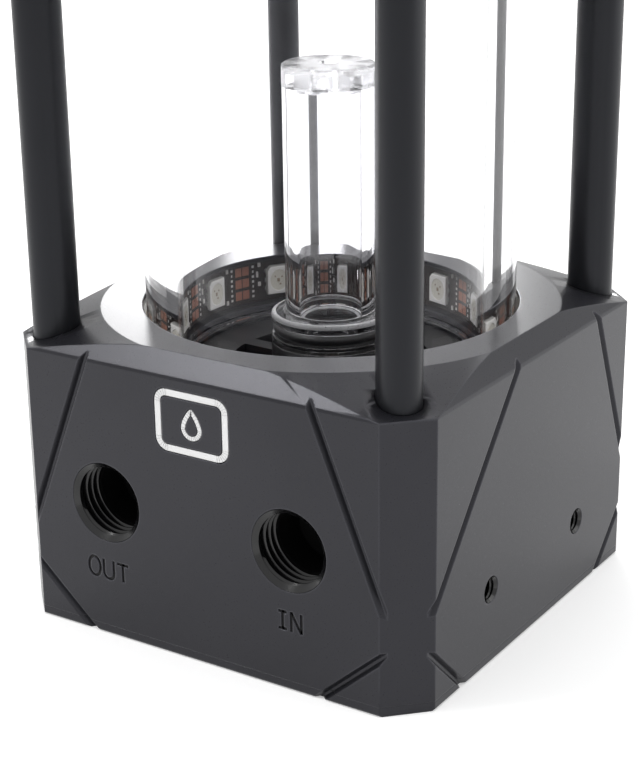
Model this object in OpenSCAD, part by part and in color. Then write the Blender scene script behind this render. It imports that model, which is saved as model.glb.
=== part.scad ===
// Coolant pump reservoir: a machined base block with a low canned-rotor pump in its underside,
// a clear tube clamped between the base and a top cap by four rods, a lit ring round the foot of
// the tube and a clear riser that brings the returning coolant in above the floor.
// Millimetres. Z is up, the origin is the middle of the face that it stands on,
// and the two coolant ports face -Y.

/* [Base block] */
// Width and depth of the base block and the top cap
base_w = 76.4; // [72:0.2:100]
// Height of the raised rim round the tube, from the standing face
base_h = 49.5; // [46:0.5:70]
// Drop from the raised rim to the top of the side faces
rim_drop = 3.2; // [1:0.1:6]
// Width of the sloping band between a side face and the raised rim, seen from above
rim_inset = 2.6; // [1:0.1:6]
// Width of the raised rim outside the tube
rim_w = 7.4; // [5:0.1:9]
// Slope of the corners away from the raised rim, in degrees
corner_slope = 15; // [5:1:30]
// Leg of the flat that is cut off each upright corner
corner_cut = 6; // [3:0.5:7]
// Width of the small bevel along the edges
edge_break = 0.3; // [0.1:0.1:0.6]
// Thickness of the plate that closes the underside
plate_t = 1.5; // [1:0.1:3]

/* [Decorative grooves] */
// Width of a groove at the face
groove_w = 1.6; // [0.8:0.1:3]
// Depth of a groove
groove_d = 0.9; // [0.3:0.1:1.5]

/* [Coolant ports] */
// Root diameter of the G1/4 threads
port_d = 13.16; // [10:0.02:16]
// Depth of the threads from the face
port_depth = 12; // [9:0.5:13]
// Distance between the two coolant ports
port_gap = 34.4; // [30:0.2:44]
// Distance of the ports' middle from the tube's axis
port_mid = -0.6; // [-2:0.1:2]
// Height of the coolant ports
port_h = 23; // [20:0.2:26]
// Countersink of a port's mouth
port_bevel = 0.1; // [0:0.1:1]

/* [Side holes] */
// Distance between the two M4 holes of the bracket side
side_gap = 30; // [20:1:40]
// Height of the M4 holes
side_h = 12.6; // [9:0.2:14]
// Root diameter of the M4 thread
side_d = 4.1; // [3:0.1:5]
// Depth of the M4 holes
side_depth = 8; // [5:0.5:9]

/* [Tube] */
// Outer diameter of the clear tube
tube_d = 60; // [56:0.5:72]
// Wall of the clear tube
tube_wall = 5; // [3:0.5:6]
// Length of the clear tube
tube_len = 150; // [60:5:300]
// How far the tube stands below the raised rim
tube_sink = 9.5; // [8:0.5:12]
// Section of the O-rings that seal the ends of the tube
seal_d = 1.9; // [1.2:0.1:2.4]

/* [Rods] */
// Section of a rod across the corner
rod_long = 7.5; // [6.5:0.1:8.5]
// Section of a rod along the corner flat
rod_wide = 6.5; // [5.5:0.1:7]
// Distance from a rod's axis to the two side faces next to it
rod_edge = 6.7; // [6:0.1:9]
// How far the rods reach below the raised rim
rod_sink = 13.5; // [10:0.5:18]
// Gap round a rod in its socket
rod_gap = 0.2; // [0.1:0.05:0.4]

/* [Top cap] */
// Height of the top cap
cap_h = 26; // [22:0.5:40]
// Distance of the outer cap ports from the middle
cap_port_x = 20; // [18:0.5:22]

/* [Lit ring] */
// Number of lamps round the tube
led_count = 12; // [6:1:12]
// Angle of the first lamp, just past the joint of the strip
led_start = 113; // [104:1:114]
// Angle from one lamp to the next
led_step = 29.5; // [27:0.5:30]
// Width of the flexible strip
strip_w = 7.6; // [5.5:0.1:8]
// Edge length of a lamp
led_w = 5; // [3:0.5:5.2]
// Height of a lamp above the strip
led_t = 1.4; // [0.8:0.1:1.5]

/* [Riser] */
// Outer diameter of the riser
riser_d = 14.8; // [12:0.1:18]
// Bore of the riser
riser_bore = 10.2; // [6:0.1:11]
// Height of the riser's top above the raised rim
riser_h = 38.5; // [20:0.5:50]
// Diameter of the riser's collar
collar_d = 19.6; // [18:0.1:24]
// Number of slots in the riser's cap
slot_count = 8; // [4:1:10]

/* [Pump] */
// Diameter of the pump pocket
pocket_d = 52.4; // [48:0.2:56]
// Height of the pump chamber's floor
chamber_h = 22.5; // [21:0.5:24]
// Height of the pump chamber
chamber_t = 5; // [4:0.5:5]
// Diameter of the impeller
impeller_d = 33; // [24:0.5:34]
// Number of impeller blades
blade_count = 7; // [4:1:9]
// Thickness of a blade
blade_t = 1.1; // [0.8:0.1:1.6]
// Number of stator teeth
tooth_count = 6; // [3:3:9]
// Running clearance of the bearing, on the radius
run_gap = 0.05; // [0.02:0.01:0.1]

/* [Hidden] */
$fn = 96;
e = 0.01;                                   // overlap of cutters with the faces that they open

// base block
half = base_w / 2;
cap_vent_d = 3;                             // vent through the middle of the riser cap
side_bevel = 0.2;                           // countersink of the M4 holes
groove_run = 3;                             // how far the grooves' cutters reach past their ends
side_top = base_h - rim_drop;               // top of the side faces
tube_r = tube_d / 2;
rim_r = tube_r + rim_w;                     // round corners of the raised rim
seat_z = base_h - tube_sink;                // the tube stands here
floor_drop = 0.5;                           // inner floor below the seat
floor_z = seat_z - floor_drop;
floor_r = tube_r - tube_wall - 0.5;
seal_r = tube_r - tube_wall / 2;            // the O-rings lie under the tube's wall
tube_gap = 0.15;
lip_gap = 0.7;                              // the rim stands clear of the tube
lip_t = 0.8;                                // rim left above the strip's groove

// cap
cap_seat_z = seat_z + tube_len;
cap_rim_z = cap_seat_z - tube_sink;         // underside rim of the cap
cap_z = cap_rim_z + cap_h;                  // top of the whole object

// rods
rod_xy = half - rod_edge;
rod_z0 = base_h - rod_sink;
rod_z1 = cap_rim_z + rod_sink;
m4_r = 2;
m4_hole_r = 2.25;
m4_head_r = 3.5;
m4_head_t = 4;
m4_pocket_r = 3.9;
m4_grip = 10;                               // thread held in a rod
m4_root_r = m4_r + run_gap;
base_screw_z = 7;                           // seat of the base screws' heads
cap_screw_sink = 5;                         // seat of the cap screws' heads below the top

// strip groove
strip_t = 0.3;
strip_r = tube_r + lip_gap + 2.1;          // outside of the strip
groove_r = strip_r + 0.15;
groove_top = base_h - lip_t;
strip_gap_w = 0.2;
groove_bottom = groove_top - strip_w - strip_gap_w;
strip_z = (groove_top + groove_bottom) / 2;

// riser
port_r = port_d / 2;
thread_play = 0.13;                         // between a threaded stem and its hole
riser_r = riser_d / 2;
collar_r = collar_d / 2;
boss_r = collar_r;
boss_z = seat_z + 3;
riser_flange_t = 1.4;                       // lower flange, standing on the boss
riser_seal_d = 1.9;
riser_seal_z = boss_z + riser_flange_t;
riser_neck_r = collar_r - 0.3 - riser_seal_d;
collar_z = riser_seal_z + riser_seal_d;
collar_t = 1.7;
riser_z1 = base_h + riser_h;
riser_cap_t = 3.3;
riser_stem = 4.6;
riser_step_r = riser_bore / 2 - 0.8;

// ducts inside the base
port_end = half - port_depth;               // inner end of the port threads
out_x = port_mid - port_gap / 2;
in_x = port_mid + port_gap / 2;
duct_z = 32.9;
duct_t = 4.6;
duct_w = 9.6;
arm_w = 13;
drop_r = 3.5;
drop_y = port_end + 2.8;
duct_len = norm([in_x, drop_y]);
duct_az = atan2(-drop_y, in_x);
window_r = 17;                              // suction windows round the boss
suction_z = duct_z - 0.9;
eye_r = 4.5;
suction_plate_t = 1.5;
suction_plate_r = 21.2;
chamber_top = chamber_h + chamber_t;

// pump
pocket_r = pocket_d / 2;
ring_t = 3.2;
ring_r = 30.8;
ring_z = plate_t + 0.3;
ring_top = ring_z + ring_t;
ring_in = 22;
m25_r = 1.25;
m25_hole_r = 1.4;
ring_bolt_r = 28.6;
body_r = pocket_r - 0.2;
shell_t = 2.6;
flange_t = 2.5;
well_r = 11.3;
well_wall = 0.9;
well_z = 9;
pump_seal_d = 1.5;
shaft_r = 1.5;
sleeve_r = 2.9;
hub_r = 4.6;
impeller_r = impeller_d / 2;
impeller_z = chamber_h + 0.4;
backplate_t = 1.1;
blade_h = chamber_t - 0.4 - backplate_t - 0.5;
magnet_z = well_z + well_wall + 1.7;
magnet_t = 7.9;
board_z = 7;
board_t = 1.2;
cover_z = ring_top + 0.1;
cover_t = 1.5;
dial_x = 13;
dial_r = 3;
dial_z = 3.9;
core_z = 9.2;
core_t = 9.6;

// ---------------------------------------------------------------- shared forms

// four places at the corners of a square
module corners(d) { for (x = [-d, d], y = [-d, d]) translate([x, y, 0]) children(); }

// square outline with its corners cut off
module cut_square(h, c) {
    polygon([[-h, c - h], [c - h, -h], [h - c, -h], [h, c - h],
             [h, h - c], [h - c, h], [c - h, h], [-h, h - c]]);
}

// outline of the block in front view: upright sides, a small bevel and the sloping band
module band_outline(h) {
    slope = rim_drop / rim_inset;
    polygon([[-half + edge_break, 0], [half - edge_break, 0], [half, edge_break],
             [half, h - rim_drop - edge_break],
             [half - edge_break / 2, h - rim_drop + edge_break / 2 * slope],
             [half - rim_inset, h], [rim_inset - half, h],
             [edge_break / 2 - half, h - rim_drop + edge_break / 2 * slope],
             [-half, h - rim_drop - edge_break], [-half, edge_break]]);
}

// block with the raised rim at its top: the same form serves the base and, upside down, the cap
module block_form(h) {
    reach = half * 1.5;
    intersection() {
        linear_extrude(h) cut_square(half, corner_cut);
        rotate([90, 0, 0]) translate([0, 0, -half - 1]) linear_extrude(base_w + 2) band_outline(h);
        rotate([90, 0, 90]) translate([0, 0, -half - 1]) linear_extrude(base_w + 2) band_outline(h);
        rotate_extrude() polygon([[0, 0], [reach, 0],
            [reach, h - (reach - rim_r) * tan(corner_slope)], [rim_r, h], [0, h]]);
    }
}

// one groove across a face that looks along -Y, from a to b, both [x, z];
// it has sloping sides and runs out past both ends
module groove(a, b) {
    w = groove_w / 2;
    translate([a[0], -half, a[1]]) rotate([0, -atan2(b[1] - a[1], b[0] - a[0]), 0])
        translate([-groove_run, 0, 0]) rotate([90, 0, 90]) linear_extrude(norm(b - a) + 2 * groove_run)
            polygon([[-1, -w], [0, -w], [groove_d, -w / 4], [groove_d, w / 4], [0, w], [-1, w]]);
}

// rounded bar: the section of a rod, grown by g on all sides
module rod_outline(g = 0) {
    flat = rod_long - rod_wide;
    square([flat, rod_wide + 2 * g], center = true);
    for (s = [-1, 1]) translate([s * flat / 2, 0]) circle(d = rod_wide + 2 * g);
}

// O-ring round the Z axis
module o_ring(r, d) { rotate_extrude() translate([r, 0]) circle(d = d, $fn = 32); }

// hole with a countersunk mouth at z = 0, going down
module threaded_port(r, depth) {
    translate([0, 0, -depth]) cylinder(r = r, h = depth + e);
    translate([0, 0, -port_bevel]) cylinder(r1 = r, r2 = r + port_bevel + e, h = port_bevel + e);
}

// cap screw with its head's seat at z = 0 and its shank going up
module cap_screw(len) {
    difference() {
        union() {
            cylinder(r = m4_r, h = len);
            translate([0, 0, -m4_head_t]) cylinder(r = m4_head_r, h = m4_head_t);
        }
        translate([0, 0, -m4_head_t - e]) cylinder(d = 3.46, h = 2.2, $fn = 6);
    }
}

// small countersunk screw with its head flush with z = 0 and its shank going up
module flat_screw(len) {
    difference() {
        union() {
            cylinder(r1 = 2.35, r2 = m25_r, h = 1.1);
            cylinder(r = m25_r, h = len);
        }
        translate([0, 0, -e]) cylinder(d = 1.73, h = 0.9, $fn = 6);
    }
}

// blanking plug: head above z = 0, threaded stem below it
plug_head_r = 9;
plug_head_t = 3.6;
plug_stem = 8;
module plug() {
    difference() {
        union() {
            translate([0, 0, plug_seal_t]) {
                cylinder(r = plug_head_r, h = plug_head_t - 0.6);
                translate([0, 0, plug_head_t - 0.6])
                    cylinder(r1 = plug_head_r, r2 = plug_head_r - 0.6, h = 0.6);
            }
            translate([0, 0, -plug_stem]) cylinder(r = port_r - thread_play, h = plug_stem + plug_seal_t + e);
        }
        translate([0, 0, plug_seal_t + plug_head_t - 2.4]) cylinder(d = 6.93, h = 3, $fn = 6);
        translate([0, 0, -plug_stem - e]) cylinder(r = 4.4, h = plug_stem - 1);
    }
}
plug_seal_t = 1.5;
plug_seal_r = port_r + plug_seal_t / 2 + 0.1;

// ---------------------------------------------------------------- base block

// grooves of the face with the ports, and of the face opposite
module end_grooves() {
    top = side_top + groove_w;
    for (m = [0, 1]) mirror([m, 0, 0]) {
        groove([half - 18, top], [half - 5.3, side_top - 29.6]);
        groove([half - 17.2, -0.6], [half - 4.6, 10.6]);
    }
}

// grooves of the two sides without ports
module side_grooves() {
    top = side_top + groove_w;
    groove([-6.3, top], [5 - half, side_top - 30.6]);
    groove([half - 18, top], [half - 5.6, side_top - 27.2]);
    for (m = [0, 1]) mirror([m, 0, 0]) groove([half - 15.6, -0.6], [half - 4.8, 9.8]);
}

module all_grooves() {
    for (a = [0, 180]) rotate([0, 0, a]) end_grooves();
    rotate([0, 0, 90]) side_grooves();
    mirror([1, 0, 0]) rotate([0, 0, 90]) side_grooves();
}

// spiral round the impeller, open to the outlet channel on the left
function volute_r(a) = impeller_r + 1.6 + (suction_plate_r - impeller_r - 1.6) * a / 345;
module volute() {
    linear_extrude(chamber_t)
        polygon([for (a = [0 : 7.5 : 345]) volute_r(a) * [cos(a + 195), sin(a + 195)]]);
}

// stadium-section duct from the middle to the drop behind the inlet port
module inlet_duct() {
    rotate([0, 0, duct_az]) translate([0, 0, duct_z + duct_t / 2]) rotate([90, 0, 90])
        linear_extrude(duct_len) {
            flat = duct_w - duct_t;
            square([flat, duct_t], center = true);
            for (s = [-1, 1]) translate([s * flat / 2, 0]) circle(d = duct_t);
        }
}

// windows that let the coolant fall round the boss to the pump's eye
module suction_windows() {
    difference() {
        translate([0, 0, suction_z - e]) cylinder(r = window_r, h = floor_z - suction_z + 1);
        cylinder(r = boss_r, h = base_h);
        rotate([0, 0, duct_az]) translate([0, -arm_w / 2, suction_z]) cube([window_r + 2, arm_w, base_h]);
        for (s = [-1, 1]) rotate([0, 0, duct_az + s * 120])
            translate([0, -1.5, suction_z]) cube([window_r + 2, 3, base_h]);
    }
    translate([0, 0, chamber_top + suction_plate_t - e])
        cylinder(r = window_r, h = suction_z - chamber_top - suction_plate_t + e);
}

module base_block() {
    color("#2f3034") difference() {
        block_form(base_h);
        translate([-half - 1, -half - 1, -1]) cube([base_w + 2, base_w + 2, plate_t + 1]);
        // tube, strip and floor
        translate([0, 0, seat_z]) cylinder(r = tube_r + tube_gap, h = base_h);
        translate([0, 0, groove_bottom]) cylinder(r = groove_r, h = groove_top - groove_bottom);
        translate([0, 0, groove_top - e]) cylinder(r = tube_r + lip_gap, h = lip_t + 1);
        difference() {
            translate([0, 0, floor_z]) cylinder(r = floor_r, h = floor_drop + e);
            cylinder(r = boss_r, h = base_h);
        }
        translate([0, 0, seat_z - seal_d]) difference() {
            cylinder(r = seal_r + seal_d / 2 + 0.15, h = seal_d + e);
            translate([0, 0, -1]) cylinder(r = seal_r - seal_d / 2 - 0.15, h = seal_d + 2);
        }
        translate([0, 0, strip_z]) rotate([-90, 0, 0]) cylinder(r = 1.7, h = half + 1);
        // rods and their screws
        rod_holes(rod_z0, base_screw_z);
        // coolant ports and ducts
        for (x = [out_x, in_x]) translate([x, -half, port_h]) rotate([90, 0, 0])
            threaded_port(port_r, port_depth);
        translate([0, 0, chamber_h - e]) volute();
        translate([out_x - 3.5, -port_end - e, chamber_h - e]) cube([7, port_end, chamber_t]);
        translate([0, 0, chamber_top - e]) cylinder(r = suction_plate_r + 0.1, h = suction_plate_t + e);
        suction_windows();
        translate([in_x, -drop_y, port_h]) cylinder(r = drop_r, h = duct_z + duct_t - port_h);
        inlet_duct();
        translate([0, 0, duct_z]) cylinder(r = riser_step_r + 0.3, h = base_h);
        translate([0, 0, boss_z - riser_stem - 0.4]) cylinder(r = port_r, h = base_h);
        // pump pocket, clamp ring recess and cable way
        translate([0, 0, plate_t - e]) cylinder(r = pocket_r, h = chamber_h - plate_t + e);
        translate([0, 0, plate_t - e]) cylinder(r = ring_r + 0.2, h = ring_top - plate_t + e);
        translate([-4, pocket_r - 4, plate_t - e]) cube([8, half, 5]);
        ring_bolts() translate([0, 0, plate_t]) cylinder(r = m25_r + run_gap, h = 12);
        plate_bolts() translate([0, 0, plate_t - e]) cylinder(r = m25_r + run_gap, h = 7);
        // bracket holes
        for (s = [-1, 1]) translate([half, s * side_gap / 2, side_h]) rotate([0, 90, 0]) {
            translate([0, 0, -side_depth]) cylinder(d = side_d, h = side_depth + e);
            translate([0, 0, -side_bevel])
                cylinder(d1 = side_d, d2 = side_d + 2 * side_bevel + e, h = side_bevel + e);
        }
        all_grooves();
    }
    // boss that carries the riser, standing on its three arms
    color("#2f3034") difference() {
        translate([0, 0, seat_z - e]) cylinder(r = boss_r, h = boss_z - seat_z - 0.4 + e);
        cylinder(r = port_r, h = base_h);
    }
    color("#2f3034") difference() {
        translate([0, 0, boss_z - 0.4]) cylinder(r1 = boss_r, r2 = boss_r - 0.4, h = 0.4);
        cylinder(r = port_r, h = base_h);
    }
}

// sockets of the four rods from the rim down to z, and the screw holes below them
module rod_holes(z, head_z) {
    for (a = [45 : 90 : 315]) rotate([0, 0, a]) translate([rod_xy * sqrt(2), 0, 0]) {
        translate([0, 0, z]) linear_extrude(base_h) rod_outline(rod_gap);
        cylinder(r = m4_hole_r, h = base_h);
        cylinder(r = m4_pocket_r, h = head_z);
    }
}

module ring_bolts() {
    for (a = [45 : 90 : 315]) rotate([0, 0, a]) translate([ring_bolt_r, 0, 0]) children();
}

module plate_bolts() {
    for (x = [-1, 1], y = [-1, 1]) translate([x * (half - 4.7), y * 14, 0]) children();
}

module bottom_plate() {
    color("#232428") difference() {
        intersection() {
            block_form(base_h);
            translate([-half, -half, 0]) cube([base_w, base_w, plate_t]);
        }
        all_grooves();
        translate([0, 0, -1]) cylinder(r = ring_in - 2, h = plate_t + 2);
        plate_bolts() {
            translate([0, 0, -e]) cylinder(r1 = 2.45, r2 = m25_hole_r, h = 1.1);
            cylinder(r = m25_hole_r, h = plate_t + 1);
        }
    }
}

module bottom_plate_screws() { color("#6d6f73") plate_bolts() flat_screw(7.5); }

// ---------------------------------------------------------------- pump

module suction_plate() {
    color("#3a3b40") translate([0, 0, chamber_top]) difference() {
        cylinder(r = suction_plate_r, h = suction_plate_t);
        translate([0, 0, -1]) cylinder(r = eye_r, h = suction_plate_t + 2);
    }
}

// wet side of the pump: a flange with a well for the rotor
module pump_can() {
    color("#55575c") difference() {
        union() {
            translate([0, 0, chamber_h - flange_t]) cylinder(r = body_r, h = flange_t);
            translate([0, 0, well_z]) cylinder(r = well_r + well_wall, h = chamber_h - flange_t - well_z + e);
        }
        difference() {
            translate([0, 0, well_z + well_wall]) cylinder(r = well_r, h = chamber_h);
            cylinder(r = 3, h = well_z + well_wall + 1.3);
        }
        translate([0, 0, well_z + 0.5]) cylinder(r = shaft_r + 0.02, h = chamber_h);
        translate([0, 0, chamber_h - flange_t / 2 - 0.8]) difference() {
            cylinder(r = body_r + 1, h = 1.6);
            translate([0, 0, -1]) cylinder(r = pocket_r - pump_seal_d - 0.25, h = 4);
        }
    }
}

module pump_can_seal() {
    color("#141414") translate([0, 0, chamber_h - flange_t / 2])
        o_ring(pocket_r - pump_seal_d / 2 - 0.12, pump_seal_d);
}

module pump_shaft() {
    color("#e8e6df") {
        translate([0, 0, well_z + 0.5]) cylinder(r = shaft_r, h = chamber_top - 1.6 - well_z);
        translate([0, 0, chamber_top - 1.1 - e]) cylinder(r1 = shaft_r, r2 = 0.9, h = 0.4);
    }
}

module bearing_sleeve() {
    color("#404246") translate([0, 0, magnet_z]) difference() {
        cylinder(r = sleeve_r - 0.02, h = impeller_z + backplate_t - magnet_z);
        translate([0, 0, -1]) cylinder(r = shaft_r + run_gap, h = chamber_h);
    }
}

module rotor_magnet() {
    color("#4b4743") translate([0, 0, magnet_z]) difference() {
        cylinder(r = well_r - 0.6, h = magnet_t);
        translate([0, 0, -1]) cylinder(r = hub_r + 0.02, h = magnet_t + 2);
    }
}

// centre of the circle that a blade follows, from the hub to the tip
blade_root = 5.2;
blade_sweep = 55;
blade_arc = impeller_r * 0.62;
blade_a = [blade_root, 0];
blade_b = (impeller_r - 0.2) * [cos(blade_sweep), -sin(blade_sweep)];
blade_half = norm(blade_b - blade_a) / 2;
blade_dir = (blade_b - blade_a) / norm(blade_b - blade_a);
blade_c = (blade_a + blade_b) / 2
    - sqrt(blade_arc * blade_arc - blade_half * blade_half) * [-blade_dir[1], blade_dir[0]];

// one backward-curved blade
module blade() {
    intersection() {
        difference() {
            translate(blade_c) circle(r = blade_arc + blade_t / 2);
            translate(blade_c) circle(r = blade_arc - blade_t / 2);
        }
        difference() {
            circle(r = impeller_r - 0.3);
            circle(r = blade_root - 0.3);
        }
        rotate(atan2(blade_c[1], blade_c[0])) translate([-impeller_d, 0])
            square([2 * impeller_d, impeller_d]);
    }
}

module impeller() {
    color("#8d9096") {
        difference() {
            union() {
                translate([0, 0, impeller_z]) cylinder(r = impeller_r, h = backplate_t);
                translate([0, 0, magnet_z]) cylinder(r = hub_r, h = impeller_z - magnet_z + e);
                translate([0, 0, impeller_z + backplate_t - e]) linear_extrude(blade_h + e)
                    for (i = [0 : blade_count - 1]) rotate(i * 360 / blade_count) blade();
            }
            cylinder(r = sleeve_r, h = base_h);
        }
    }
}

// laminated core: a ring, its teeth and their curved shoes
module stator_core() {
    tooth_w = 4;
    color("#7b7d80") translate([0, 0, core_z]) linear_extrude(core_t) {
        difference() {
            circle(r = body_r - shell_t - 0.1);
            circle(r = body_r - shell_t - 2.8);
        }
        for (i = [0 : tooth_count - 1]) rotate(i * 360 / tooth_count) {
            translate([well_r + well_wall + 1, -tooth_w / 2])
                square([body_r - shell_t - 2 - well_r - well_wall, tooth_w]);
            intersection() {
                difference() {
                    circle(r = well_r + well_wall + 1.7);
                    circle(r = well_r + well_wall + 0.4);
                }
                polygon([[0, 0], [20, -7.4], [20, 7.4]]);
            }
        }
    }
}

module stator_coils() {
    inner = well_r + well_wall + 2;
    outer = body_r - shell_t - 3.5;
    color("#9a5a2c") translate([0, 0, core_z + core_t / 2])
        for (i = [0 : tooth_count - 1]) rotate([0, 0, i * 360 / tooth_count])
            translate([inner, 0, 0]) rotate([90, 0, 90]) linear_extrude(outer - inner) difference() {
                union() {
                    square([7, core_t - 1.4], center = true);
                    for (x = [-2, 2], y = [-1, 1]) translate([x, y * (core_t / 2 - 0.7)])
                        circle(r = 1.5, $fn = 32);
                    square([4, core_t + 1.6], center = true);
                }
                square([4.1, core_t + 0.1], center = true);
            }
}

module control_board() {
    color("#2b4a35") translate([0, 0, board_z]) cylinder(r = body_r - shell_t - 0.4, h = board_t);
    // trimmer under the board, and the parts round it
    color("#2b4a35") translate([dial_x, 0, board_z - 0.3]) cylinder(r = 2.4, h = 0.31);
}

module pump_housing() {
    color("#3b3c40") difference() {
        translate([0, 0, ring_top]) cylinder(r = body_r, h = chamber_h - flange_t - ring_top);
        translate([0, 0, ring_top - 1]) cylinder(r = body_r - shell_t, h = chamber_h);
        translate([-4, 0, ring_top - e]) cube([8, pocket_r + 1, 1.8]);
    }
}

module pump_back_cover() {
    color("#35363a") translate([0, 0, cover_z]) difference() {
        cylinder(r = body_r - shell_t - 0.1, h = cover_t);
        translate([dial_x, 0, -1]) cylinder(r = dial_r + run_gap, h = cover_t + 2);
        translate([0, 17, -1]) cylinder(r = 2.4, h = cover_t + 2);
        // shallow turned rings on the outside
        for (r = [8, 19.4]) translate([0, 0, -e]) difference() {
            cylinder(r = r + 0.4, h = 0.4);
            translate([0, 0, -1]) cylinder(r = r - 0.4, h = 2);
        }
    }
}

// small knob with a screwdriver slot
module speed_dial() {
    color("#b8402f") translate([dial_x, 0, 0]) difference() {
        union() {
            translate([0, 0, dial_z + 0.4]) cylinder(r = dial_r, h = board_z - 0.35 - dial_z - 0.4);
            translate([0, 0, dial_z]) cylinder(r1 = dial_r - 0.4, r2 = dial_r, h = 0.4 + e);
        }
        translate([-0.5, -dial_r - 1, dial_z - e]) cube([1, 2 * dial_r + 2, 1.1]);
    }
}

module pump_clamp_ring() {
    color("#46484d") translate([0, 0, ring_z]) difference() {
        cylinder(r = ring_r, h = ring_t);
        translate([0, 0, -1]) cylinder(r = ring_in, h = ring_t + 2);
        translate([-4, 0, -1]) cube([8, ring_r + 1, ring_t + 2]);
        ring_bolts() {
            translate([0, 0, -e]) cylinder(r1 = 2.45, r2 = m25_hole_r, h = 1.1);
            translate([0, 0, -1]) cylinder(r = m25_hole_r, h = ring_t + 2);
        }
    }
}

module pump_clamp_screws() { color("#6d6f73") translate([0, 0, ring_z]) ring_bolts() flat_screw(10); }

// ---------------------------------------------------------------- lit ring

module led_strip() {
    color("#17181a") translate([0, 0, strip_z - strip_w / 2]) difference() {
        cylinder(r = strip_r, h = strip_w);
        translate([0, 0, -1]) cylinder(r = strip_r - strip_t, h = strip_w + 2);
        // the two ends of the strip meet with a small gap over the cable hole
        translate([-0.6, 0, -1]) cube([1.2, strip_r + 1, strip_w + 2]);
    }
}

module leds() {
    back = sqrt(pow(strip_r - strip_t, 2) - pow(led_w / 2, 2)) - 0.12;
    color("#f2f2ee") for (i = [0 : led_count - 1])
        rotate([0, 0, led_start + i * led_step]) difference() {
            translate([back - led_t, -led_w / 2, strip_z - led_w / 2]) cube([led_t, led_w, led_w]);
            translate([back - led_t - e, 0, strip_z]) rotate([0, 90, 0])
                cylinder(r1 = led_w * 0.4, r2 = led_w * 0.36, h = 0.3);
        }
}

// ---------------------------------------------------------------- tube and riser

module lower_tube_seal() { color("#141414") translate([0, 0, seat_z - seal_d / 2]) o_ring(seal_r, seal_d); }

module upper_tube_seal() {
    color("#141414") translate([0, 0, cap_seat_z + seal_d / 2]) o_ring(seal_r, seal_d);
}

module glass_tube() {
    color([0.9, 0.93, 0.95, 0.3]) translate([0, 0, seat_z]) difference() {
        cylinder(r = tube_r, h = tube_len);
        translate([0, 0, -1]) cylinder(r = tube_r - tube_wall, h = tube_len + 2);
    }
}

module riser_tube() {
    top = riser_z1 - riser_cap_t;
    color([0.92, 0.94, 0.95, 0.4]) difference() {
        union() {
            translate([0, 0, boss_z - riser_stem]) cylinder(r = port_r - thread_play, h = riser_stem + 1);
            translate([0, 0, boss_z]) cylinder(r = collar_r, h = riser_flange_t);
            translate([0, 0, boss_z]) cylinder(r = riser_neck_r, h = collar_z - boss_z + e);
            translate([0, 0, collar_z]) {
                cylinder(r = collar_r, h = collar_t - 0.5);
                translate([0, 0, collar_t - 0.5]) cylinder(r1 = collar_r, r2 = collar_r - 0.5, h = 0.5);
            }
            translate([0, 0, collar_z + collar_t - e])
                cylinder(r = riser_r, h = top - collar_z - collar_t + e);
        }
        cylinder(r = riser_step_r, h = riser_z1);
        translate([0, 0, collar_z + 0.8]) cylinder(r = riser_bore / 2, h = riser_h);
    }
}

module riser_seal() {
    color("#141414") translate([0, 0, riser_seal_z + riser_seal_d / 2])
        o_ring(riser_neck_r + riser_seal_d / 2 + 0.03, riser_seal_d - 0.04);
}

// crown with radial slots that breaks the rising jet
module riser_cap() {
    r = riser_r + 0.05;
    color([0.92, 0.94, 0.95, 0.4]) translate([0, 0, riser_z1 - riser_cap_t]) difference() {
        union() {
            cylinder(r = r, h = riser_cap_t - 0.3);
            translate([0, 0, riser_cap_t - 0.3]) cylinder(r1 = r, r2 = r - 0.3, h = 0.3);
            translate([0, 0, -0.8]) cylinder(r = riser_bore / 2 - 0.05, h = 0.8 + e);
        }
        translate([0, 0, -1]) cylinder(r = riser_bore / 2 - 1.2, h = 1 + riser_cap_t - 1.1);
        cylinder(d = cap_vent_d, h = riser_cap_t + 1);
        for (i = [0 : slot_count - 1]) rotate([0, 0, (i + 0.5) * 360 / slot_count])
            translate([0, -1.2, -e]) cube([r + 1, 2.4, riser_cap_t - 1.1]);
    }
}

// ---------------------------------------------------------------- rods and cap

module rod(a) {
    color("#2b2c30") rotate([0, 0, a]) translate([rod_xy * sqrt(2), 0, rod_z0]) difference() {
        linear_extrude(rod_z1 - rod_z0) rod_outline();
        translate([0, 0, -1]) cylinder(r = m4_root_r, h = m4_grip + 3);
        translate([0, 0, rod_z1 - rod_z0 - m4_grip - 2]) cylinder(r = m4_root_r, h = m4_grip + 3);
    }
}

module rod_front_left() { rod(225); }
module rod_front_right() { rod(315); }
module rod_back_left() { rod(135); }
module rod_back_right() { rod(45); }

module base_rod_screws() {
    color("#5f6165") corners(rod_xy) translate([0, 0, base_screw_z])
        cap_screw(rod_z0 + m4_grip - base_screw_z);
}

module cap_rod_screws() {
    z = cap_z - cap_screw_sink;
    color("#5f6165") corners(rod_xy) translate([0, 0, z]) mirror([0, 0, 1]) cap_screw(z - rod_z1 + m4_grip);
}

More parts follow.
